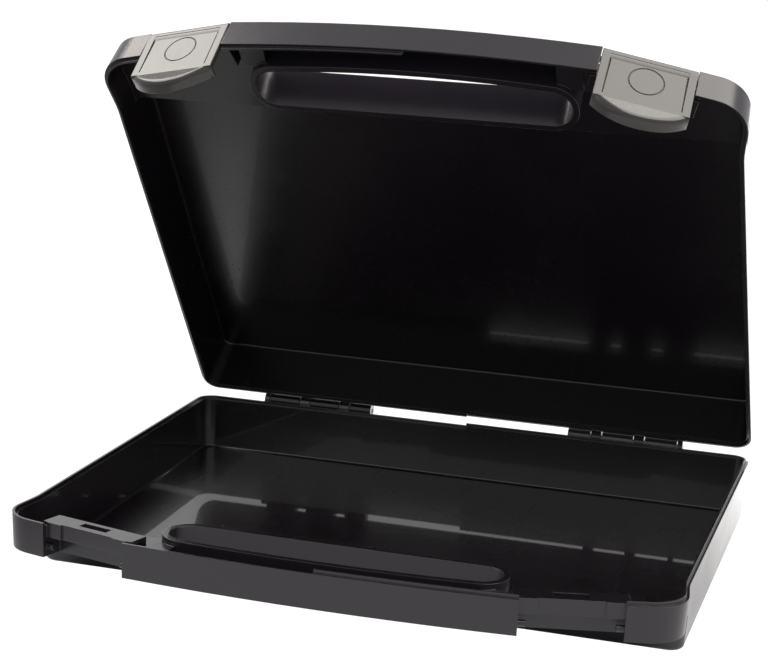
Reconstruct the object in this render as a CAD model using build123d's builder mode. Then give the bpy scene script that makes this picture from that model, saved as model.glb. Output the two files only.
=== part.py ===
from build123d import *
from math import atan2, cos, degrees, hypot, radians, sin
import os

# Driving dimensions, in millimetres. The case is two copies of one moulding that meet at a parting
# plane. A plan position is (across, forward): across the case from its middle, and forward from the
# rear wall's outer face. A depth is measured from the parting plane.

# Shell in plan
rear_half_width = 170.0
waist_half_width = 162.8
waist_forward = 240.0
corner_across = 166.3
corner_forward = 272.0
bar_end_across = 94.0
bar_end_forward = 290.5
bar_middle_forward = 295.0
rear_corner_radius = 10.0
waist_radius = 60.0
front_corner_radius = 20.0
tray_forward = 238.0
tray_corner_radius = 9.0
side_margin = 0.1

# Shell in depth
shell_depth = 34.4
handle_depth = 17.2
parting_gap = 0.3
wall = 2.6
panel = 2.4
draft_angle = 2.7
outer_round = 2.4
inner_round = 1.4

# Handle opening, behind a handle whose breadth in plan is given at its ends and at its middle
handle_end_breadth = 14.5
handle_middle_breadth = 14.0
collar_length = 168.0
collar_reach = 27.7
collar_lean = 8.3
collar_wall = 3.2
shelf_across = 80.0
shelf_root = 2.0
shelf_length = 13.0
shelf_depth = 3.0
shelf_thickness = 2.4

# Rim joint: a tongue on the right half of each moulding and a rebate on its left half
land = 1.2
tongue_thickness = 1.0
tongue_height = 1.6
rim_clearance = 0.3

# Latch recess, in the frame of the slanted front face
recess_width = 47.2
recess_depth = 12.6
pillar_width = 8.5
pillar_depth = 7.4
pillar_setback = 3.0
ledge_setback = 4.0
slot_length = 16.0
slot_width = 5.0
axle_setback = 4.6
axle_depth = 12.4
axle_radius = 1.6
axle_length = 3.6

# Latch
latch_side_gap = 0.4
latch_plate = 2.6
latch_corner_drop = 15.2
tongue_drop = 10.4
tongue_flare = 12.0
skirt_depth = 6.6
skirt_wall = 2.0
hook_width = 26.0
hook_reach = 3.8
hook_height = 2.6
hook_clearance = 0.4
socket_clearance = 0.08
socket_depth = 4.3
crown_round = 2.2
field_inset = 4.0
field_top = 13.4
field_depth = 0.3
ring_radius = 8.8
ring_width = 0.6
ring_height = 1.0
ring_depth = 0.3

# Hinges
hinge_setback = 6.3
barrel_radius = 4.3
knuckle_gap = 0.5
hinge_inset = 40.0
wide_knuckles = (13.5, 18.5, 19.0)
narrow_knuckle = 6.0
last_narrow_knuckle = 3.0
hinge_web_drop = 10.0
pin_radius = 1.5
pin_clearance = 0.06
pin_end_gap = 0.5

# Pose
opening_angle = 49.5
rear_face = 120.0

# Derived sizes
parting = shell_depth
rim = parting_gap / 2
face_run = corner_across - bar_end_across
face_fall = bar_end_forward - corner_forward
face_angle = degrees(atan2(face_fall, face_run))
recess_share = recess_width / 2 / hypot(face_run, face_fall)
recess_across = bar_end_across + face_run * recess_share
recess_forward = bar_end_forward - face_fall * recess_share
latch_width = recess_width - 2 * latch_side_gap
pillar_centre = (recess_width - pillar_width) / 2
ledge_width = recess_width - 2 * pillar_width
collar_end_forward = bar_end_forward - handle_end_breadth
collar_middle_forward = bar_middle_forward - handle_middle_breadth
collar_rear_forward = collar_end_forward - collar_reach
shelf_reach = handle_end_breadth + shelf_root
shelf_forward = bar_end_forward - shelf_reach / 2
narrow_knuckles = (narrow_knuckle, narrow_knuckle, last_narrow_knuckle)
hinge_length = sum(wide_knuckles) + sum(narrow_knuckles) + 5 * knuckle_gap
hinge_start = rear_half_width - hinge_inset - hinge_length
hinge_axis = Axis((0, rear_face + hinge_setback, parting), (1, 0, 0))
turn_over_axis = Axis((0, 0, parting), (0, 1, 0))


def plan(depth):
    """The sketch plane at a depth: its x runs across, its y forward, and its normal points down."""
    return Plane(origin=(0, rear_face, parting - depth), x_dir=(1, 0, 0), z_dir=(0, 0, -1))


def tray_outline(inset):
    """The deep tray's outline, drawn in by an inset."""
    side_slope = (rear_half_width - waist_half_width) / waist_forward
    front_half_width = rear_half_width - side_slope * tray_forward
    with BuildSketch() as outline:
        with BuildLine():
            half = FilletPolyline(
                (0, 0),
                (rear_half_width, 0),
                (front_half_width, tray_forward),
                (0, tray_forward),
                radius=[rear_corner_radius, tray_corner_radius],
            )
            mirror(half, about=Plane.YZ)
        make_face()
        if inset:
            offset(amount=-inset, mode=Mode.REPLACE)
    return outline.sketch_local


def rim_outline(inset):
    """The whole moulding's outline at the rim, drawn in by an inset."""
    with BuildSketch() as outline:
        with BuildLine():
            half = FilletPolyline(
                (0, 0),
                (rear_half_width, 0),
                (waist_half_width, waist_forward),
                (corner_across, corner_forward),
                (bar_end_across, bar_end_forward),
                radius=[rear_corner_radius, waist_radius, front_corner_radius],
            )
            mirror(half, about=Plane.YZ)
            ThreePointArc(
                (bar_end_across, bar_end_forward),
                (0, bar_middle_forward),
                (-bar_end_across, bar_end_forward),
            )
        make_face()
        if inset:
            offset(amount=-inset, mode=Mode.REPLACE)
    return outline.sketch_local


def on_face(along, out):
    """A plan position given along the right recess's slanted face and out from it."""
    turn = radians(face_angle)
    return (
        recess_across + along * cos(turn) + out * sin(turn),
        recess_forward - along * sin(turn) + out * cos(turn),
    )


def face_rectangle(along, length, back, front, mode=Mode.ADD):
    """A rectangle square to the slanted faces, at both recesses, in the current sketch."""
    with Locations(on_face(along, (front - back) / 2)):
        box = Rectangle(length, front + back, rotation=-face_angle, mode=mode)
    mirror(box, about=Plane.YZ, mode=mode)


def collar_outline(depth, inset):
    """The handle opening's collar at a depth, drawn in by an inset: its rear side leans forward."""
    rear = collar_rear_forward + collar_lean * depth / handle_depth + inset
    front = collar_end_forward - inset
    reach = collar_length / 2 - inset
    with BuildSketch() as outline:
        with BuildLine():
            Polyline((-reach, front), (-reach, rear), (reach, rear), (reach, front))
            ThreePointArc((reach, front), (0, collar_middle_forward - inset), (-reach, front))
        make_face()
        fillet(outline.vertices(), (front - rear) / 2)
    return outline.sketch_local


def collar_form(top_depth, bottom_depth, inset):
    """The solid inside the collar's outline between two depths."""
    with BuildPart() as form:
        with BuildSketch(plan(top_depth)):
            add(collar_outline(top_depth, inset))
        with BuildSketch(plan(bottom_depth)):
            add(collar_outline(bottom_depth, inset))
        loft(ruled=True)
    return form.part


def half_of(across_sign, inset_from_middle):
    """A block that covers one side of the case in plan, in the current sketch."""
    width = 2 * rear_half_width
    with Locations((across_sign * (width / 2 + inset_from_middle), bar_middle_forward / 2)):
        Rectangle(width, 2 * bar_middle_forward)


def across_plane(across):
    """A plane square to the hinge axis: its x runs rearwards from the axis, and its y up."""
    return Plane(origin=(across, rear_face + hinge_setback, parting), x_dir=(0, 1, 0), z_dir=(1, 0, 0))


def face_plane(side):
    """A slanted face: x along it to the right, y up from the parting plane, normal outwards."""
    turn = radians(face_angle)
    return Plane(
        origin=(side * recess_across, rear_face - recess_forward, parting),
        x_dir=(cos(turn), side * sin(turn), 0),
        z_dir=(side * sin(turn), -cos(turn), 0),
    )


def profile_plane(side, along):
    """A plane square to a slanted face: x inwards from the face, y up, normal to the right."""
    face = face_plane(side)
    return Plane(origin=face.origin + face.x_dir * along, x_dir=-face.z_dir, z_dir=face.x_dir)


def knuckle(start, width):
    """Adds one hinge knuckle to the current part: a barrel on a web from the rear wall."""
    with BuildSketch(across_plane(start)) as outline:
        Circle(barrel_radius)
        with BuildLine():
            Polyline(
                (0, -parting_gap),
                (0, -barrel_radius),
                (-hinge_setback - wall / 2, -hinge_web_drop),
                (-hinge_setback - wall / 2, -parting_gap),
                close=True,
            )
        make_face()
    extrude(outline.sketch, amount=width)


def moulding_form(inset, tray_depth, zone_depth):
    """The moulding's form drawn in by an inset: a deep tray and a shallower handle zone before it."""
    with BuildPart() as limits:
        with BuildSketch(plan(rim)):
            add(tray_outline(inset - side_margin))
        extrude(amount=tray_depth - rim, taper=draft_angle)
        with BuildSketch(plan(rim)):
            Rectangle(4 * rear_half_width, 4 * bar_middle_forward)
        extrude(amount=zone_depth - rim)
    with BuildPart() as form:
        with BuildSketch(plan(rim)):
            add(rim_outline(inset))
        extrude(amount=tray_depth - rim, taper=draft_angle)
        add(limits.part, mode=Mode.INTERSECT)
    return form.part


with BuildPart() as outside:
    add(moulding_form(0, shell_depth, handle_depth))
    fillet(outside.faces().sort_by(Axis.Z)[0].edges(), outer_round)

with BuildPart() as hollow:
    add(moulding_form(wall, shell_depth - panel, handle_depth - panel))
    fillet(hollow.faces().sort_by(Axis.Z)[0].edges(), inner_round)
    with BuildSketch(plan(rim)):
        face_rectangle(0, recess_width + 2 * wall, recess_depth + wall, recess_depth)
    extrude(amount=handle_depth, mode=Mode.SUBTRACT)

# Rim joint: the tongue stands on the right half, the rebate runs along the left half
with BuildPart() as tongue:
    with BuildSketch(plan(-tongue_height)):
        add(rim_outline(land + rim_clearance))
    extrude(amount=tongue_height + land)
    with BuildSketch(plan(-tongue_height)):
        add(rim_outline(land + rim_clearance + tongue_thickness))
    extrude(amount=tongue_height + land, mode=Mode.SUBTRACT)
    with BuildSketch(plan(-tongue_height)):
        half_of(1, rim_clearance)
    extrude(amount=tongue_height + land, mode=Mode.INTERSECT)

with BuildPart() as rebate:
    with BuildSketch(plan(-tongue_height)):
        add(rim_outline(land))
    extrude(amount=2 * tongue_height + rim_clearance)
    with BuildSketch(plan(-tongue_height)):
        add(rim_outline(wall + land))
    extrude(amount=2 * tongue_height + rim_clearance, mode=Mode.SUBTRACT)
    with BuildSketch(plan(-tongue_height)):
        half_of(-1, 0)
    extrude(amount=2 * tongue_height + rim_clearance, mode=Mode.INTERSECT)

# One moulding, in the base's position
with BuildPart() as shell:
    add(outside.part)
    add(hollow.part, mode=Mode.SUBTRACT)
    add(tongue.part)
    add(rebate.part, mode=Mode.SUBTRACT)
    # Latch recesses, open to the front and to the outside
    with BuildSketch(plan(-2 * tongue_height)):
        face_rectangle(0, recess_width, recess_depth, recess_depth)
    extrude(amount=2 * handle_depth, mode=Mode.SUBTRACT)
    # Pillars and the catch block between them, with its slot
    with BuildSketch(plan(rim)):
        face_rectangle(pillar_centre, pillar_width, recess_depth + wall / 2, -pillar_setback)
        face_rectangle(-pillar_centre, pillar_width, recess_depth + wall / 2, -pillar_setback)
        face_rectangle(0, ledge_width, recess_depth + wall / 2, -ledge_setback)
        face_rectangle(0, slot_length, recess_depth, slot_width - recess_depth, mode=Mode.SUBTRACT)
    extrude(amount=pillar_depth)
    # Handle opening with its collar, and a shelf across the handle at each end
    add(collar_form(rim, handle_depth - panel / 2, 0))
    with BuildSketch(plan(shelf_depth)):
        with Locations((shelf_across, shelf_forward), (-shelf_across, shelf_forward)):
            Rectangle(shelf_length, shelf_reach)
    extrude(amount=shelf_thickness)
    add(collar_form(-tongue_height, handle_depth + panel, collar_wall), mode=Mode.SUBTRACT)
    # Stub axles on the recesses' side walls
    for side in (1, -1):
        for end, length in ((-recess_width / 2, axle_length), (recess_width / 2, -axle_length)):
            with BuildSketch(profile_plane(side, end)):
                with Locations((axle_setback, -axle_depth)):
                    Circle(axle_radius)
            extrude(amount=length)
    # Knuckles: wide on the right, and narrow on the left that fill the other copy's gaps
    position = hinge_start
    for wide, narrow in zip(wide_knuckles, narrow_knuckles):
        knuckle(position, wide)
        position += wide + knuckle_gap
        knuckle(-position - narrow, narrow)
        position += narrow + knuckle_gap
    for start in (hinge_start - knuckle_gap, -hinge_start - hinge_length - knuckle_gap):
        with BuildSketch(across_plane(start)):
            Circle(pin_radius + pin_clearance)
        extrude(amount=hinge_length + 2 * knuckle_gap, mode=Mode.SUBTRACT)


def opened(piece):
    """The piece of the closed lid, turned open about the hinge axis."""
    return piece.rotate(hinge_axis, -opening_angle)


with BuildPart() as base_shell:
    add(shell.part)

with BuildPart() as lid_shell:
    add(opened(shell.part.rotate(turn_over_axis, 180)))

# Hinge pins
with BuildPart() as right_hinge_pin:
    with BuildSketch(across_plane(hinge_start + pin_end_gap)):
        Circle(pin_radius)
    extrude(amount=hinge_length - 2 * pin_end_gap)

with BuildPart() as left_hinge_pin:
    with BuildSketch(across_plane(-hinge_start - hinge_length + pin_end_gap)):
        Circle(pin_radius)
    extrude(amount=hinge_length - 2 * pin_end_gap)


def tongue_plane(side):
    """The finger tongue's outer face: it hangs from the plate's lower edge and flares outwards."""
    face = face_plane(side)
    flare = radians(tongue_flare)
    return Plane(
        origin=face.origin - face.y_dir * latch_corner_drop,
        x_dir=face.x_dir,
        z_dir=face.z_dir * cos(flare) + face.y_dir * sin(flare),
    )


def tongue_outline(inset):
    """The finger tongue's rounded outline, drawn in by an inset."""
    with BuildSketch() as outline:
        with BuildLine():
            arc = ThreePointArc((-latch_width / 2, 0), (0, -tongue_drop), (latch_width / 2, 0))
            Line(arc @ 0, arc @ 1)
        make_face()
        if inset:
            offset(amount=-inset, mode=Mode.REPLACE)
    return outline.sketch_local


def build_latch(side):
    """A closed latch on the closed lid: barrel, plate, finger tongue with its skirt, and hook."""
    with BuildPart() as latch:
        with BuildSketch(profile_plane(side, -latch_width / 2)) as profile:
            with Locations((axle_setback, axle_depth)):
                Circle(axle_setback)
            with Locations((axle_setback / 2, axle_depth + axle_setback / 2)):
                Rectangle(axle_setback, axle_setback)
            with Locations((latch_plate / 2, (axle_depth - latch_corner_drop) / 2)):
                Rectangle(latch_plate, axle_depth + latch_corner_drop)
            crown = profile.vertices().group_by(Axis.Y)[-1].sort_by(Axis.X)[0]
            fillet(crown, crown_round)
        extrude(amount=latch_width)
        with BuildSketch(tongue_plane(side)):
            add(tongue_outline(0))
            Rectangle(latch_width, latch_plate)
        extrude(amount=-latch_plate)
        with BuildSketch(tongue_plane(side).offset(-latch_plate / 2)):
            add(tongue_outline(0))
            add(tongue_outline(skirt_wall), mode=Mode.SUBTRACT)
        extrude(amount=latch_plate / 2 - skirt_depth)
        hook_top = -rim - pillar_depth - hook_clearance
        with BuildSketch(profile_plane(side, -hook_width / 2)):
            with BuildLine():
                Polyline(
                    (latch_plate / 2, hook_top),
                    (latch_plate + hook_reach, hook_top),
                    (latch_plate + hook_reach, hook_top - hook_height / 2),
                    (latch_plate / 2, hook_top - 2 * hook_height),
                    close=True,
                )
            make_face()
        extrude(amount=hook_width)
        for end, depth in ((-latch_width / 2, socket_depth), (latch_width / 2, -socket_depth)):
            with BuildSketch(profile_plane(side, end)):
                with Locations((axle_setback, axle_depth)):
                    Circle(axle_radius + socket_clearance)
            extrude(amount=depth, mode=Mode.SUBTRACT)
        with BuildSketch(face_plane(side)):
            with Locations((0, (field_top - latch_corner_drop) / 2)):
                Rectangle(latch_width - 2 * field_inset, field_top + latch_corner_drop)
        extrude(amount=-field_depth, mode=Mode.SUBTRACT)
        with BuildSketch(face_plane(side)):
            with Locations((0, ring_height)):
                Circle(ring_radius)
                Circle(ring_radius - ring_width, mode=Mode.SUBTRACT)
        extrude(amount=-field_depth - ring_depth, mode=Mode.SUBTRACT)
    return latch.part


with BuildPart() as right_latch:
    add(opened(build_latch(1)))

with BuildPart() as left_latch:
    add(opened(build_latch(-1)))

os.makedirs("parts", exist_ok=True)
pieces = {
    "base_shell": base_shell,
    "lid_shell": lid_shell,
    "left_latch": left_latch,
    "right_latch": right_latch,
    "left_hinge_pin": left_hinge_pin,
    "right_hinge_pin": right_hinge_pin,
}
for name, piece in pieces.items():
    piece.part.label = name
    export_step(piece.part, f"parts/{name}.step")
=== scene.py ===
# %% [markdown]
# A hard tool case, opened on a table
#
# The case is two copies of one black plastic moulding, joined by two pin hinges at the rear and held
# shut by two pivoting latches at the front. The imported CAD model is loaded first, as a fixed frame:
# every piece made here sits in that frame, in metres, and rides on one of its bodies.

# %% Load the frame
from math import atan2, cos, hypot, radians, sin

import bmesh
import bpy
from mathutils import Matrix, Vector


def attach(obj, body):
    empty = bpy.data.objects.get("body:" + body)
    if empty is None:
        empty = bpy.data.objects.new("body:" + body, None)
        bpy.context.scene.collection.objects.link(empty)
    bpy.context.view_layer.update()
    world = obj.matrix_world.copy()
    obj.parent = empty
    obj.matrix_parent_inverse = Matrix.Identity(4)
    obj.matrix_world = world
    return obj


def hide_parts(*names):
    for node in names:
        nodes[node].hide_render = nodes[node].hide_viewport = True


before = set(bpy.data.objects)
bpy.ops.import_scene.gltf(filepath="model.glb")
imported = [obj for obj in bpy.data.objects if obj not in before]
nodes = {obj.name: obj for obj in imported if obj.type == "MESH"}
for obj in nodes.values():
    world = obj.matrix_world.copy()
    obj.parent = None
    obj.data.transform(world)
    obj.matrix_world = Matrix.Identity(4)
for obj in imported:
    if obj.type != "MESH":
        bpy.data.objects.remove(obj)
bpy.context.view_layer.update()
print("nodes in the frame:", sorted(nodes))

# %% [markdown]
# The camera stands where the photograph was taken from: a little to the case's right, a little above
# the table, and slightly rolled. A long lens is used, because the case's far edge is nearly as wide
# in the picture as its near edge. The camera's axes are written down as a matrix, so nothing has to
# be turned by hand.

# %% Camera
view_right_of_front = radians(14.1158)
view_above_table = radians(11.3961)
view_roll = radians(3.2894)
view_distance = 0.9582684
view_point = Vector((0.0, 0.0, 0.060))
slide_right = 0.006995
slide_up = 0.0505421
lens_length = 83.589
film_width = 36.0
picture_shift = -0.0599

backwards = Vector((
    sin(view_right_of_front) * cos(view_above_table),
    -cos(view_right_of_front) * cos(view_above_table),
    sin(view_above_table),
))
level_right = (-backwards).cross(Vector((0, 0, 1))).normalized()
level_up = level_right.cross(-backwards)
right = level_right * cos(view_roll) + level_up * sin(view_roll)
up = level_up * cos(view_roll) - level_right * sin(view_roll)
eye = view_point + backwards * view_distance + right * slide_right + up * slide_up

camera_data = bpy.data.cameras.new("camera")
camera_data.lens = lens_length
camera_data.sensor_width = film_width
camera_data.shift_x = picture_shift
camera = bpy.data.objects.new("camera", camera_data)
bpy.context.scene.collection.objects.link(camera)
axes = Matrix((right, up, backwards)).transposed()
camera.matrix_world = Matrix.Translation(eye) @ axes.to_4x4()
bpy.context.scene.camera = camera
print("camera at", [round(v, 3) for v in eye])

# %% [markdown]
# A procedural material is a small network of nodes. These helpers add one node each and give back
# what comes out of it, so that the table, the room and every finish below read as a list of steps.
# Each input is filled with a link, where the value is another node's output, or else with a number.

# %% Helpers for nodes
def step(tree, kind, values=None, **settings):
    """Adds a node, sets its settings, and fills its inputs with links or plain values."""
    node = tree.nodes.new(kind)
    for key, value in settings.items():
        setattr(node, key, value)
    for key, value in (values or {}).items():
        if isinstance(value, bpy.types.NodeSocket):
            tree.links.new(value, node.inputs[key])
        else:
            node.inputs[key].default_value = value
    return node


def calculate(tree, kind, first, second=0.0, third=0.0):
    """The result of a Math node."""
    return step(tree, "ShaderNodeMath", {0: first, 1: second, 2: third}, operation=kind).outputs[0]


def ramp(tree, value, low, high, low_out=0.0, high_out=1.0, curve="LINEAR"):
    """Maps a value from one range to another, and holds it at the ends."""
    values = {"Value": value, "From Min": low, "From Max": high, "To Min": low_out, "To Max": high_out}
    return step(tree, "ShaderNodeMapRange", values, interpolation_type=curve).outputs["Result"]


def value_mix(tree, mask, first, second):
    """A value that is first where the mask is 0 and second where it is 1."""
    return step(tree, "ShaderNodeMix", {"Factor": mask, "A": first, "B": second}).outputs["Result"]


def colour_mix(tree, mask, first, second):
    """A colour that is first where the mask is 0 and second where it is 1, from links or numbers."""
    first, second = (
        colour if isinstance(colour, bpy.types.NodeSocket) else (*colour, 1) for colour in (first, second)
    )
    mixed = step(tree, "ShaderNodeMix", {"Factor": mask, "A": first, "B": second}, data_type="RGBA")
    return mixed.outputs["Result"]


print("helpers for nodes are ready")

# %% [markdown]
# Black plastic is mostly seen by what it reflects, so the table's light matters more than the
# plastic's own colour. The table is a white sheet that glows. It looks plain white to the camera, as
# paper does in a studio picture, but its glow in what the case reflects has painted light and shade:
# a painted shadow where the case covers it, painted light behind the case, where the lights would
# reach it freely, and painted shade far to the left.

# %% Table
table_width = 12.0
table_centre = 2.0
paper_colour = (0.06, 0.06, 0.06, 1)
paper_tint = (1.0, 0.99, 0.98, 1)
white_in_picture = 1.1
# Painted light and shade in the paper's glow: brighter behind the case, dimmer at the left, and a painted
# shadow under the case.
brightening, glow_before_case, glow_behind_case = (-0.05, 0.25), 0.98, 2.3
dimming, glow_at_left = (-0.24, -0.15), 0.45
shade_side, shade_front, shade_rear = (0.13, 0.17), (-0.17, -0.12), (0.09, 0.12)
glow_in_painted_shadow = 0.1

bpy.ops.object.select_all(action="DESELECT")
bpy.ops.mesh.primitive_plane_add(size=table_width, location=(0, table_centre, 0))
table = bpy.context.object
table.name = "table"

paper = bpy.data.materials.new("paper")
paper.use_nodes = True
paper_tree = paper.node_tree
paper_shader = paper_tree.nodes["Principled BSDF"]
paper_shader.inputs["Base Color"].default_value = paper_colour
paper_shader.inputs["Roughness"].default_value = 0.9
paper_shader.inputs["Specular IOR Level"].default_value = 0.1
paper_shader.inputs["Emission Color"].default_value = paper_tint
table.data.materials.append(paper)


def fade(value, span, start, end):
    """On the paper, a value that goes smoothly from start to end over a span."""
    return ramp(paper_tree, value, *span, start, end, "SMOOTHSTEP")


def white_to_camera(tree, seen_in_reflection):
    """A strength that is plain white where the camera looks, and the given one everywhere else."""
    looked_at = step(tree, "ShaderNodeLightPath").outputs["Is Camera Ray"]
    return value_mix(tree, looked_at, seen_in_reflection, white_in_picture)


paper_place = step(paper_tree, "ShaderNodeTexCoord").outputs["Object"]
paper_axes = step(paper_tree, "ShaderNodeSeparateXYZ", {"Vector": paper_place})
across = paper_axes.outputs["X"]
rearwards = calculate(paper_tree, "ADD", paper_axes.outputs["Y"], table_centre)
# Painted shadow: the glow falls to a tenth where the case stands; painted light raises it behind the case,
# and painted shade lowers it at the left.
beside = fade(calculate(paper_tree, "ABSOLUTE", across), shade_side, 1.0, 0.0)
before = fade(rearwards, shade_front, 0.0, 1.0)
behind = fade(rearwards, shade_rear, 1.0, 0.0)
painted_shadow_mask = calculate(paper_tree, "MULTIPLY", calculate(paper_tree, "MULTIPLY", beside, before), behind)
painted_shadow = fade(painted_shadow_mask, (0.0, 1.0), 1.0, glow_in_painted_shadow)
painted_light_behind = fade(rearwards, brightening, glow_before_case, glow_behind_case)
painted_shade_left = fade(across, dimming, glow_at_left, 1.0)
glow = calculate(paper_tree, "MULTIPLY", painted_light_behind, painted_shade_left)
glow = calculate(paper_tree, "MULTIPLY", glow, painted_shadow)
paper_tree.links.new(white_to_camera(paper_tree, glow), paper_shader.inputs["Emission Strength"])
print("table:", table.name, "with", len(paper_tree.nodes), "nodes in its paper")

# %% [markdown]
# Two large soft lights hang above the table and face straight down, one to the left and one to the
# right. Each gives a broad soft highlight on the side walls and the handle, and the darker gap
# between them falls on the middle of the handle. The room is white to the camera, and a little less
# bright where the case reflects it.

# %% Lights and room
light_height = 1.3
light_length = 1.4
light_colour = (1.0, 0.95, 0.89)
room_brightness = 0.75


def soft_light(name, middle_across, width, power):
    """A rectangular soft light above the table, that faces straight down."""
    data = bpy.data.lights.new(name, "AREA")
    data.shape = "RECTANGLE"
    data.size = width
    data.size_y = light_length
    data.energy = power
    data.color = light_colour
    light = bpy.data.objects.new(name, data)
    light.location = (middle_across, 0, light_height)
    bpy.context.scene.collection.objects.link(light)


soft_light("left_softbox", middle_across=-1.22, width=1.0, power=26)
soft_light("right_softbox", middle_across=1.02, width=1.7, power=36)

room = bpy.data.worlds.new("studio")
room.use_nodes = True
background = room.node_tree.nodes["Background"]
background.inputs["Color"].default_value = (1, 1, 1, 1)
room.node_tree.links.new(
    white_to_camera(room.node_tree, room_brightness), background.inputs["Strength"]
)
bpy.context.scene.world = room
bpy.context.scene.view_settings.view_transform = "Standard"

# %% [markdown]
# Some effects belong to several finishes, so each is made once, as a node group with named inputs
# and outputs. The first helper makes an empty group, and the second puts a group in a material with
# that material's own values.

# %% Helpers for node groups
FLOAT = "NodeSocketFloat"
VECTOR = "NodeSocketVector"


def new_group(name, inputs, outputs):
    """An empty shader group with the named inputs and outputs, and its two end nodes."""
    group = bpy.data.node_groups.new(name, "ShaderNodeTree")
    for socket_name, kind, start in inputs:
        socket = group.interface.new_socket(socket_name, in_out="INPUT", socket_type=kind)
        socket.default_value = start
    for socket_name, kind in outputs:
        group.interface.new_socket(socket_name, in_out="OUTPUT", socket_type=kind)
    return group, group.nodes.new("NodeGroupInput"), group.nodes.new("NodeGroupOutput")


def use_group(tree, group, **values):
    """Puts a group in a material, and gives its inputs their values."""
    node = tree.nodes.new("ShaderNodeGroup")
    node.node_tree = group
    for key, value in values.items():
        node.inputs[key.replace("_", " ")].default_value = value
    return node


print("helpers for node groups are ready")

# %% [markdown]
# The outside of the moulding has a fine satin grain, as steel moulds get from spark erosion. It is a
# pebbled pattern under a millimetre across with finer noise on top, so one group gives its height
# for the bump and a slow unevenness for the roughness.

# %% Group: fine grain
grain, grain_in, grain_out = new_group(
    "fine_grain",
    [("Pebbles per metre", FLOAT, 1500.0), ("Uneven patches per metre", FLOAT, 14.0)],
    [("Height", FLOAT), ("Unevenness", FLOAT)],
)
speckles_per_pebble = 2.3
speckle_share = 0.5
place = step(grain, "ShaderNodeTexCoord").outputs["Object"]
pebbles = step(
    grain, "ShaderNodeTexVoronoi",
    {"Vector": place, "Scale": grain_in.outputs["Pebbles per metre"], "Smoothness": 0.8},
    feature="SMOOTH_F1",
)
finer = calculate(grain, "MULTIPLY", grain_in.outputs["Pebbles per metre"], speckles_per_pebble)
speckle = step(grain, "ShaderNodeTexNoise", {"Vector": place, "Scale": finer, "Detail": 2.0})
height = calculate(
    grain, "MULTIPLY_ADD", speckle.outputs["Fac"], speckle_share, pebbles.outputs["Distance"]
)
patches = step(
    grain, "ShaderNodeTexNoise",
    {"Vector": place, "Scale": grain_in.outputs["Uneven patches per metre"],
     "Detail": 5.0, "Roughness": 0.6},
)
grain.links.new(height, grain_out.inputs["Height"])
grain.links.new(patches.outputs["Fac"], grain_out.inputs["Unevenness"])
print("group:", grain.name)

# %% [markdown]
# Moulded edges are never quite sharp, and they rub bright with use. The Bevel node looks round each
# edge for a small distance and gives a normal that turns smoothly across it. Where that normal
# leaves the surface's own, there is an edge, and some noise breaks the rubbed line up.

# %% Group: rubbed edges
rub, rub_in, rub_out = new_group(
    "rubbed_edges",
    [("Radius", FLOAT, 0.0004), ("Breaks per metre", FLOAT, 60.0)],
    [("Edge", FLOAT), ("Normal", VECTOR)],
)
flat_agreement, edge_agreement = 0.995, 0.90
whole_from, broken_from = 0.42, 0.62
rounded = step(rub, "ShaderNodeBevel", {"Radius": rub_in.outputs["Radius"]}, samples=6)
surface = step(rub, "ShaderNodeNewGeometry")
agree = step(
    rub, "ShaderNodeVectorMath",
    {0: rounded.outputs["Normal"], 1: surface.outputs["Normal"]},
    operation="DOT_PRODUCT",
)
edge = ramp(rub, agree.outputs["Value"], flat_agreement, edge_agreement)
breaks = step(
    rub, "ShaderNodeTexNoise",
    {"Vector": step(rub, "ShaderNodeTexCoord").outputs["Object"],
     "Scale": rub_in.outputs["Breaks per metre"], "Detail": 6.0, "Roughness": 0.7},
)
broken = ramp(rub, breaks.outputs["Fac"], whole_from, broken_from)
rub.links.new(calculate(rub, "MULTIPLY", edge, broken), rub_out.inputs["Edge"])
rub.links.new(rounded.outputs["Normal"], rub_out.inputs["Normal"])
print("group:", rub.name)

# %% [markdown]
# The inside and the rim are polished, the outside is not. Whether a face is inside follows from its
# normal: seen from a point in the middle of the moulding, just past its rim, an outside face looks
# away and an inside face looks back. The group takes that point and gives the mask.

# %% Group: inside or outside
sides, sides_in, sides_out = new_group(
    "inside_or_outside", [("Middle", VECTOR, (0.0, 0.0, 0.0))], [("Inside", FLOAT)],
)
where = step(sides, "ShaderNodeTexCoord")
from_middle = step(
    sides, "ShaderNodeVectorMath",
    {0: where.outputs["Object"], 1: sides_in.outputs["Middle"]}, operation="SUBTRACT",
)
looks_away = step(
    sides, "ShaderNodeVectorMath",
    {0: from_middle.outputs["Vector"], 1: where.outputs["Normal"]}, operation="DOT_PRODUCT",
)
looks_back = calculate(sides, "LESS_THAN", looks_away.outputs["Value"], 0.0)
sides.links.new(looks_back, sides_out.inputs["Inside"])
print("group:", sides.name)

# %% [markdown]
# Tools and boxes that slide about leave hair scratches on polished plastic, all ways round. Noise
# that is stretched forty to one gives thin streaks, and three such layers, each turned differently,
# are cut off so high that only a few scratches stay.

# %% Group: hair scratches
scratch, scratch_in, scratch_out = new_group(
    "hair_scratches", [("Scratches per metre", FLOAT, 500.0)], [("Scratches", FLOAT)],
)
streak_turns = ((0.4, 0.3, 0.5), (1.1, 2.0, 1.9), (2.3, 0.9, 2.8))
streak_squeeze = (1.0, 0.025, 1.0)
streak_from, streak_full = 0.74, 0.80
place = step(scratch, "ShaderNodeTexCoord").outputs["Object"]
scratched = 0.0
for turn in streak_turns:
    turned = step(
        scratch, "ShaderNodeMapping", {"Vector": place, "Rotation": turn, "Scale": streak_squeeze}
    )
    streaks = step(
        scratch, "ShaderNodeTexNoise",
        {"Vector": turned.outputs["Vector"], "Detail": 1.0,
         "Scale": scratch_in.outputs["Scratches per metre"]},
    )
    layer = ramp(scratch, streaks.outputs["Fac"], streak_from, streak_full)
    scratched = calculate(scratch, "MAXIMUM", scratched, layer)
scratch.links.new(scratched, scratch_out.inputs["Scratches"])
print("group:", scratch.name, "in", len(streak_turns), "layers")

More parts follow.
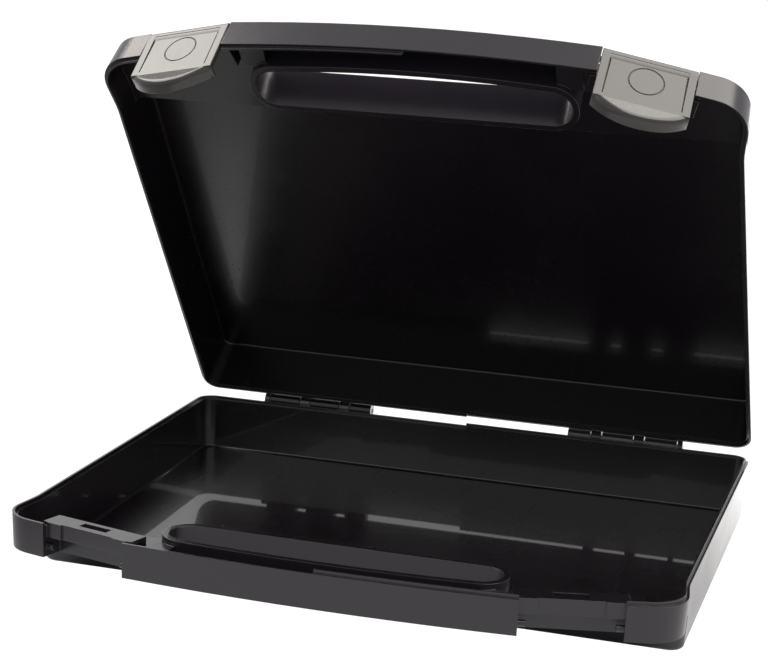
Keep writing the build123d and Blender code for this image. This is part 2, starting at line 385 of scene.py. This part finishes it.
# %% [markdown]
# The shells' plastic is carbon black in a clear resin: nearly black in itself, with a satin outside
# that shows a soft grey sheen, and an inside that is satin under a thin clear gloss, like a dark
# mirror. Scratches dull the gloss, and rubbed edges are lighter. The base and the lid are the same
# moulding, so one function makes both materials, each for the middle point of its own moulding.

# %% Shell plastic
plastic_index = 1.49
outside_dark, outside_light = (0.0120, 0.0098, 0.0140), (0.0165, 0.0138, 0.0190)
inside_dark, inside_light = (0.0038, 0.0026, 0.0038), (0.0058, 0.0042, 0.0060)
rubbed_colour = (0.045, 0.043, 0.047)
rubbed_share = 0.5
patch_span = (0.3, 0.7)
satin_span = (0.20, 0.27)
polish_span = (0.24, 0.30)
dulled_by_scratch = 0.08
smoothed_by_rubbing = -0.05
gloss_left_by_scratch = 0.6
grain_left_inside = 0.02
scratch_depth = -0.04


def shell_plastic(name, middle, gloss):
    """Black plastic, satin outside and polished inside, for the moulding round a middle point."""
    material = bpy.data.materials.new(name)
    material.use_nodes = True
    tree = material.node_tree
    shader = tree.nodes["Principled BSDF"]
    shader.inputs["IOR"].default_value = plastic_index
    shader.inputs["Coat IOR"].default_value = plastic_index
    shader.inputs["Coat Roughness"].default_value = 0.03
    inside = use_group(tree, sides, Middle=middle).outputs["Inside"]
    pebbled = use_group(tree, grain, Pebbles_per_metre=1600.0, Uneven_patches_per_metre=16.0)
    edges = use_group(tree, rub, Radius=0.0005, Breaks_per_metre=70.0)
    scratches = use_group(tree, scratch, Scratches_per_metre=420.0).outputs["Scratches"]
    uneven = pebbled.outputs["Unevenness"]

    outside_colour = colour_mix(tree, uneven, outside_dark, outside_light)
    inside_colour = colour_mix(tree, uneven, inside_dark, inside_light)
    colour = colour_mix(tree, inside, outside_colour, inside_colour)
    rubbed = calculate(tree, "MULTIPLY", edges.outputs["Edge"], rubbed_share)
    tree.links.new(colour_mix(tree, rubbed, colour, rubbed_colour), shader.inputs["Base Color"])

    satin = ramp(tree, uneven, *patch_span, *satin_span)
    polish = ramp(tree, uneven, *patch_span, *polish_span)
    polish = calculate(tree, "MULTIPLY_ADD", scratches, dulled_by_scratch, polish)
    roughness = value_mix(tree, inside, satin, polish)
    roughness = calculate(tree, "MULTIPLY_ADD", edges.outputs["Edge"], smoothed_by_rubbing, roughness)
    tree.links.new(roughness, shader.inputs["Roughness"])
    gloss_left = value_mix(tree, scratches, gloss, gloss_left_by_scratch * gloss)
    tree.links.new(calculate(tree, "MULTIPLY", gloss_left, inside), shader.inputs["Coat Weight"])

    grain_share = value_mix(tree, inside, 1.0, grain_left_inside)
    pebble_height = calculate(tree, "MULTIPLY", pebbled.outputs["Height"], grain_share)
    total_height = calculate(tree, "MULTIPLY_ADD", scratches, scratch_depth, pebble_height)
    bump = step(
        tree, "ShaderNodeBump",
        {"Strength": 0.35, "Distance": 0.00006, "Height": total_height, "Normal": edges.outputs["Normal"]},
    )
    tree.links.new(bump.outputs["Normal"], shader.inputs["Normal"])
    return material


print("shell plastic is ready")

# %% [markdown]
# The lid is the base's moulding turned over and opened about the hinge line, so its middle point is
# found by turning the closed lid's. Less of the gloss shows in the lid, whose inside is duller in
# the photograph than the base's. A CAD node keeps its mesh and only gets a new material.

# %% Paint the shells
rim_height = 0.0344
above_rim = 0.005
hinge_line = Vector((0.0, 0.1263, rim_height))
opening_angle = radians(49.5)
base_gloss = 0.7
lid_gloss = 0.1
open_lid = (
    Matrix.Translation(hinge_line)
    @ Matrix.Rotation(-opening_angle, 4, "X")
    @ Matrix.Translation(-hinge_line)
)
base_middle = Vector((0.0, 0.0, rim_height + above_rim))
lid_middle = open_lid @ Vector((0.0, 0.0, rim_height - above_rim))


def repaint(node_name, material):
    """Gives a CAD node a material in place of its own."""
    node = nodes[node_name]
    node.data.materials.clear()
    node.data.materials.append(material)


repaint("base_shell", shell_plastic("base_plastic", base_middle, base_gloss))
repaint("lid_shell", shell_plastic("lid_plastic", lid_middle, lid_gloss))
print("painted the shells; the lid's middle is at", [round(v, 3) for v in lid_middle])

# %% [markdown]
# The hinge pins are drawn steel wire. Drawing leaves fine lines along the wire, so the noise is
# stretched along its length, and it sets the roughness and a slight bump.

# %% Drawn steel
bright_steel, stained_steel = (0.62, 0.61, 0.60), (0.44, 0.43, 0.42)
steel_span = (0.18, 0.38)
drawn_steel = bpy.data.materials.new("drawn_steel")
drawn_steel.use_nodes = True
tree = drawn_steel.node_tree
steel_shader = tree.nodes["Principled BSDF"]
steel_shader.inputs["Metallic"].default_value = 1.0
place = step(tree, "ShaderNodeTexCoord").outputs["Object"]
along_wire = step(tree, "ShaderNodeMapping", {"Vector": place, "Scale": (0.02, 1.0, 1.0)})
lines = step(
    tree, "ShaderNodeTexNoise", {"Vector": along_wire.outputs["Vector"], "Scale": 6000.0, "Detail": 3.0}
).outputs["Fac"]
stain = step(tree, "ShaderNodeTexNoise", {"Vector": place, "Scale": 90.0, "Detail": 4.0}).outputs["Fac"]
tree.links.new(colour_mix(tree, stain, bright_steel, stained_steel), steel_shader.inputs["Base Color"])
tree.links.new(ramp(tree, lines, *patch_span, *steel_span), steel_shader.inputs["Roughness"])
wire_bump = step(tree, "ShaderNodeBump", {"Strength": 0.3, "Distance": 0.00002, "Height": lines})
tree.links.new(wire_bump.outputs["Normal"], steel_shader.inputs["Normal"])
for side in ("left", "right"):
    repaint(f"{side}_hinge_pin", drawn_steel)
print("painted the hinge pins")

# %% [markdown]
# A latch is modelled in a frame of its own: x along its width, y up, and z out of its face, with
# lengths in millimetres. These helpers add a block there, select faces and edges in edit mode by a
# test on their place and normal, cut the mesh at a plane, and join solids. Everything is deselected
# before each start, because an operator acts on all that is selected.

# %% Helpers for modelling
mm = 0.001
near_enough = 0.01
facing = 0.9


def block(name, low, high):
    """A box between two corners, given in millimetres."""
    bpy.ops.object.select_all(action="DESELECT")
    middle = [(a + b) / 2 * mm for a, b in zip(low, high)]
    extent = [(b - a) * mm for a, b in zip(low, high)]
    bpy.ops.mesh.primitive_cube_add(size=1.0, location=middle, scale=extent)
    piece = bpy.context.object
    piece.name = name
    bpy.ops.object.transform_apply(location=True, rotation=True, scale=True)
    return piece


def select(piece, kind, test):
    """In edit mode, selects only the faces or edges for which the test holds."""
    bpy.ops.mesh.select_mode(type=kind)
    bpy.ops.mesh.select_all(action="DESELECT")
    shape = bmesh.from_edit_mesh(piece.data)
    elements = shape.faces if kind == "FACE" else shape.edges
    chosen = [element for element in elements if test(element)]
    for element in chosen:
        element.select_set(True)
    bmesh.update_edit_mesh(piece.data)
    return len(chosen)


def near(value, target):
    """Whether a length in metres is a target in millimetres, to a hundredth."""
    return abs(value - target * mm) < near_enough * mm


def edge_at(element, **places):
    """Whether both ends of an edge lie at the given x, y or z."""
    return all(near(getattr(end.co, key), value) for end in element.verts for key, value in places.items())


def cut(place_on, normal, **options):
    """Bisects all of the mesh in edit mode, at a plane given in millimetres."""
    bpy.ops.mesh.select_all(action="SELECT")
    bpy.ops.mesh.bisect(plane_co=[v * mm for v in place_on], plane_no=normal, **options)


def extrude(across, up_by, outwards):
    """Extrudes the selected faces by a step given in millimetres."""
    step_by = (across * mm, up_by * mm, outwards * mm)
    bpy.ops.mesh.extrude_region_move(TRANSFORM_OT_translate={"value": step_by})


def join_solids(piece, others, kind):
    """Joins solids to a piece, or cuts them out of it, and removes them."""
    for other in others:
        boolean = piece.modifiers.new("join", "BOOLEAN")
        boolean.operation = kind
        boolean.solver = "EXACT"
        boolean.object = other
        bpy.context.view_layer.objects.active = piece
        bpy.ops.object.modifier_apply(modifier=boolean.name)
        bpy.data.objects.remove(other, do_unlink=True)


print("helpers for modelling are ready")

# %% [markdown]
# The latch's plate is a flat board with a rounded crown. Its face has a shallow field, sunk at the
# top and the sides, that runs out to nothing at the lower edge. The board starts as a cube: its top
# edge is bevelled, the board is divided by four cuts, a block behind the top is extruded to make
# room for the axle, and the middle of the face is pushed in.

# %% Latch plate
latch_half = 23.2
latch_top = 17.0
latch_crease = -15.2
plate_depth = 2.6
crown_round = 2.2
axle_back = 4.6
axle_up = 12.4
field_half = 19.2
field_top = 13.4
field_depth = 0.45
doubles_within = 0.005

plate = block("latch", (-latch_half, latch_crease, -plate_depth), (latch_half, latch_top, 0))
bpy.ops.object.mode_set(mode="EDIT")
select(plate, "EDGE", lambda e: edge_at(e, y=latch_top, z=0))
bpy.ops.mesh.bevel(offset=crown_round * mm, segments=6)
for across in (-field_half, field_half):
    cut((across, 0, 0), (1, 0, 0))
cut((0, field_top, 0), (0, 1, 0))
cut((0, axle_up, 0), (0, 1, 0))
select(plate, "FACE", lambda f: f.normal.z < -facing and f.calc_center_median().y > axle_up * mm)
extrude(0, 0, plate_depth - axle_back)
select(
    plate, "FACE",
    lambda f: f.normal.z > facing and abs(f.calc_center_median().x) < field_half * mm
    and f.calc_center_median().y < field_top * mm,
)
extrude(0, 0, -field_depth)
select(plate, "EDGE", lambda e: edge_at(e, y=latch_crease, z=-field_depth))
bpy.ops.transform.translate(value=(0, 0, field_depth * mm))
bpy.ops.mesh.select_all(action="SELECT")
bpy.ops.mesh.remove_doubles(threshold=doubles_within * mm)
bpy.ops.mesh.dissolve_degenerate(threshold=doubles_within * mm)
bpy.ops.object.mode_set(mode="OBJECT")
print("plate:", len(plate.data.polygons), "faces")

# %% [markdown]
# A plain ring in the face marks the place for the thumb, and three narrow grooves frame the field.
# Both are cut out of the plate while it is still a simple board: the ring with a thin torus, tilted
# as the field is, and the grooves with blocks. Cutting first keeps the later joins clean.

# %% Ring and grooves
ring_up = 1.0
ring_radius = 8.5
ring_thickness = 0.34
ring_sink = 0.08
groove_width = 0.5
groove_depth = 1.0
groove_end = -13.0
above_face = 1.0
field_slope = atan2(field_depth, field_top - latch_crease)
field_at_ring = -field_depth * (ring_up - latch_crease) / (field_top - latch_crease)

bpy.ops.object.select_all(action="DESELECT")
bpy.ops.mesh.primitive_torus_add(
    major_segments=96, minor_segments=12, major_radius=ring_radius * mm, minor_radius=ring_thickness * mm,
    location=(0, ring_up * mm, (field_at_ring - ring_sink) * mm), rotation=(-field_slope, 0, 0),
)
ring = bpy.context.object
grooves = [
    block(f"{name}_groove", (left, bottom, -groove_depth), (right_side, field_top, above_face))
    for name, left, right_side, bottom in (
        ("top", -field_half, field_half, field_top - groove_width),
        ("left", -field_half, groove_width - field_half, groove_end),
        ("right", field_half - groove_width, field_half, groove_end),
    )
]
join_solids(plate, [ring, *grooves], "DIFFERENCE")
print("plate with ring and grooves:", len(plate.data.polygons), "faces")

# %% [markdown]
# The finger tongue is a slice of a large disc. A cylinder is cut along a chord, its front rim is
# rolled over with a wide bevel, and the back is hollowed so that only a skirt is left round it. It
# is tilted outwards about the plate's lower edge.

# %% Finger tongue
tongue_drop = 10.4
tongue_root = 1.5
tongue_flare = radians(12.0)
skirt_depth = 6.6
skirt_wall = 2.0
lip_roll = 3.2
disc_radius = (latch_half ** 2 + tongue_drop ** 2) / (2 * tongue_drop)

bpy.ops.object.select_all(action="DESELECT")
bpy.ops.mesh.primitive_cylinder_add(
    vertices=160, radius=disc_radius * mm, depth=skirt_depth * mm,
    location=(0, (disc_radius - tongue_drop) * mm, -skirt_depth / 2 * mm),
)
tongue = bpy.context.object
tongue.name = "finger_tongue"
bpy.ops.object.transform_apply(location=True, rotation=True, scale=True)
bpy.ops.object.mode_set(mode="EDIT")
cut((0, tongue_root, 0), (0, 1, 0), clear_outer=True, use_fill=True)
for outwards in (-1, 1):
    cut((outwards * latch_half, 0, 0), (outwards, 0, 0), clear_outer=True, use_fill=True)
lip = select(
    tongue, "EDGE",
    lambda e: edge_at(e, z=0) and not edge_at(e, y=tongue_root)
    and not near(abs(e.verts[0].co.x), latch_half),
)
bpy.ops.mesh.bevel(offset=lip_roll * mm, segments=8, clamp_overlap=False)
select(tongue, "FACE", lambda f: f.normal.z < -facing)
bpy.ops.mesh.inset(thickness=skirt_wall * mm)
extrude(0, 0, skirt_depth - plate_depth)
bpy.ops.object.mode_set(mode="OBJECT")
tongue.matrix_world = (
    Matrix.Translation((0, latch_crease * mm, 0)) @ Matrix.Rotation(-tongue_flare, 4, "X")
)
bpy.ops.object.transform_apply(location=True, rotation=True, scale=True)
print("tongue:", len(tongue.data.polygons), "faces,", lip, "edges rolled over")

# %% [markdown]
# The barrel turns on two stub axles, so each of its ends has a socket: the end face is inset and
# pushed in. It stays a hair inside the plate's outline, because faces that fall exactly together
# confuse a boolean join. The hook behind the plate starts as a flat block, and its lower front edge
# is pulled down to give it a sloping underside.

# %% Barrel and hook
axle_radius = 1.68
socket_depth = 4.3
inside_plate = 0.03
hook_half = 13.0
hook_top = -7.95
hook_tip = 1.3
hook_back = -6.4
hook_slope = 3.9

bpy.ops.object.select_all(action="DESELECT")
bpy.ops.mesh.primitive_cylinder_add(
    vertices=64, radius=(axle_back - inside_plate) * mm, depth=2 * (latch_half - inside_plate) * mm,
    location=(0, axle_up * mm, -axle_back * mm), rotation=(0, radians(90), 0),
)
barrel = bpy.context.object
barrel.name = "latch_barrel"
bpy.ops.object.transform_apply(location=True, rotation=True, scale=True)
bpy.ops.object.mode_set(mode="EDIT")
for outwards in (-1, 1):
    select(barrel, "FACE", lambda f: f.normal.x * outwards > facing)
    bpy.ops.mesh.inset(thickness=(axle_back - axle_radius) * mm)
    extrude(-outwards * socket_depth, 0, 0)
bpy.ops.object.mode_set(mode="OBJECT")

hook = block(
    "latch_hook", (-hook_half, hook_top - hook_tip, hook_back), (hook_half, hook_top, -plate_depth / 2)
)
bpy.ops.object.mode_set(mode="EDIT")
select(hook, "EDGE", lambda e: edge_at(e, y=hook_top - hook_tip, z=-plate_depth / 2))
bpy.ops.transform.translate(value=(0, -hook_slope * mm, 0))
bpy.ops.object.mode_set(mode="OBJECT")
print("barrel and hook:", len(barrel.data.polygons), "and", len(hook.data.polygons), "faces")

# %% [markdown]
# The four solids become one by boolean union. Every edge that is left sharp then gets a small bevel,
# as the moulded part has. A bevel overruns into a spike where edges crowd together, so such edges
# are marked to stay sharp, and so are the ring and the grooves, which are too fine for it.

# %% One latch
edge_round = 0.28
sharp_from = radians(35)
short_edge = 0.56
long_edge = 20.0
crease_end_height = 3.0
crease_end_width = 0.5

join_solids(plate, [tongue, barrel, hook], "UNION")


def tight(end):
    """Whether a bevel would overrun here: a very short edge meets this vertex, or the crease ends at it."""
    past_side = abs(end.co.x) > (latch_half - crease_end_width) * mm
    crease_end = past_side and abs(end.co.y - latch_crease * mm) < crease_end_height * mm
    return crease_end or min(edge.calc_length() for edge in end.link_edges) < short_edge * mm


def keeps_sharp(edge):
    """Whether an edge is nearly flat, too tight for a bevel, or in the ring or grooves of the field."""
    in_field = all(
        abs(end.co.x) < (field_half + near_enough) * mm
        and groove_end * mm < end.co.y < (field_top + near_enough) * mm
        and end.co.z > -(groove_depth + near_enough) * mm
        for end in edge.verts
    )
    crowded = edge.calc_length() < long_edge * mm and any(tight(end) for end in edge.verts)
    return in_field or crowded or edge.calc_face_angle(0) < sharp_from


shape = bmesh.new()
shape.from_mesh(plate.data)
bmesh.ops.remove_doubles(shape, verts=shape.verts, dist=doubles_within * mm)
bmesh.ops.dissolve_degenerate(shape, edges=shape.edges, dist=doubles_within * mm)
bevel_weight = shape.edges.layers.float.new("bevel_weight_edge")
for edge in shape.edges:
    edge[bevel_weight] = 0.0 if keeps_sharp(edge) else 1.0
shape.to_mesh(plate.data)
shape.free()

softened = plate.modifiers.new("soft_edges", "BEVEL")
softened.width = edge_round * mm
softened.segments = 3
softened.limit_method = "WEIGHT"
softened.use_clamp_overlap = False
bpy.ops.object.select_all(action="DESELECT")
plate.select_set(True)
bpy.context.view_layer.objects.active = plate
bpy.ops.object.modifier_apply(modifier=softened.name)
bpy.ops.object.shade_smooth_by_angle(angle=sharp_from)
weighted = plate.modifiers.new("flat_faces", "WEIGHTED_NORMAL")
weighted.keep_sharp = True
weighted.weight = 90
bpy.ops.object.modifier_apply(modifier=weighted.name)
print("one latch:", len(plate.data.polygons), "faces")

# %% [markdown]
# The latches' plastic is a shade lighter and smoother than the shells', with fine draw lines up the
# plate. They come from noise that is stretched along the latch. The pattern is turned upright first,
# because the finished latch lies on the open lid's slanted face.

# %% Latch plastic
latch_index = 1.55
latch_dark, latch_light = (0.0120, 0.0110, 0.0100), (0.0170, 0.0155, 0.0140)
latch_worn = (0.045, 0.043, 0.041)
latch_span = (0.17, 0.24)
latch_dulled_by_scratch = 0.1
line_share = 0.8
pebble_share = 0.3


def latch_plastic(name, turned_upright):
    """Satin plastic with fine lines up the latch, for the way that this latch is turned."""
    material = bpy.data.materials.new(name)
    material.use_nodes = True
    tree = material.node_tree
    shader = tree.nodes["Principled BSDF"]
    shader.inputs["IOR"].default_value = latch_index
    pebbled = use_group(tree, grain, Pebbles_per_metre=2600.0, Uneven_patches_per_metre=45.0)
    edges = use_group(tree, rub, Radius=0.0003, Breaks_per_metre=160.0)
    scratches = use_group(tree, scratch, Scratches_per_metre=900.0).outputs["Scratches"]
    place = step(tree, "ShaderNodeTexCoord").outputs["Object"]
    upright = step(tree, "ShaderNodeMapping", {"Vector": place, "Rotation": turned_upright})
    stretched = step(
        tree, "ShaderNodeMapping", {"Vector": upright.outputs["Vector"], "Scale": (1.0, 0.03, 1.0)}
    )
    lines = step(
        tree, "ShaderNodeTexNoise", {"Vector": stretched.outputs["Vector"], "Scale": 2200.0, "Detail": 3.0}
    ).outputs["Fac"]
    unworn = colour_mix(tree, pebbled.outputs["Unevenness"], latch_dark, latch_light)
    colour = colour_mix(tree, edges.outputs["Edge"], unworn, latch_worn)
    tree.links.new(colour, shader.inputs["Base Color"])
    satin = ramp(tree, lines, *patch_span, *latch_span)
    satin = calculate(tree, "MULTIPLY_ADD", scratches, latch_dulled_by_scratch, satin)
    tree.links.new(satin, shader.inputs["Roughness"])
    pebble_height = calculate(tree, "MULTIPLY", pebbled.outputs["Height"], pebble_share)
    total_height = calculate(tree, "MULTIPLY_ADD", lines, line_share, pebble_height)
    bump = step(
        tree, "ShaderNodeBump",
        {"Strength": 0.12, "Distance": 0.00002, "Height": total_height, "Normal": edges.outputs["Normal"]},
    )
    tree.links.new(bump.outputs["Normal"], shader.inputs["Normal"])
    return material


print("latch plastic is ready")

# %% [markdown]
# Each latch sits in a recess beside the handle, on the slanted stretch of the front between the
# handle bar's end and the case's corner. The same four places that drive the CAD model give the
# latch's turn and shift. The finished latch is copied to both sides, each copy with its own mesh,
# and takes the place of the CAD model's plainer one.

# %% Both latches
corner_across, corner_forward = 166.3, 272.0
bar_end_across, bar_end_forward = 94.0, 290.5
recess_half = 23.6
rear_face = 120.0
face_run = corner_across - bar_end_across
face_fall = bar_end_forward - corner_forward
face_turn = atan2(face_fall, face_run)
share = recess_half / hypot(face_run, face_fall)
latch_across = bar_end_across + face_run * share
latch_forward = bar_end_forward - face_fall * share


def latch_place(side):
    """The turn and shift from the latch's own frame to its place on the open lid."""
    along = Vector((cos(face_turn), side * sin(face_turn), 0))
    outwards = Vector((side * sin(face_turn), -cos(face_turn), 0))
    turn = Matrix((along, Vector((0, 0, 1)), outwards)).transposed().to_4x4()
    shift = Matrix.Translation((side * latch_across * mm, (rear_face - latch_forward) * mm, rim_height))
    return open_lid @ shift @ turn


for name, side in (("left_latch", -1), ("right_latch", 1)):
    cover = plate.copy()
    cover.data = plate.data.copy()
    cover.name = f"{name}_moulding"
    bpy.context.scene.collection.objects.link(cover)
    bpy.ops.object.select_all(action="DESELECT")
    cover.select_set(True)
    bpy.context.view_layer.objects.active = cover
    cover.matrix_world = latch_place(side)
    bpy.ops.object.transform_apply(location=True, rotation=True, scale=True)
    cover.data.materials.clear()
    upright_turn = latch_place(side).to_3x3().inverted().to_euler()
    cover.data.materials.append(latch_plastic(f"{name}_plastic", upright_turn))
    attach(cover, f"{name}_body")
    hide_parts(name)
    print("placed", cover.name)
bpy.data.objects.remove(plate, do_unlink=True)
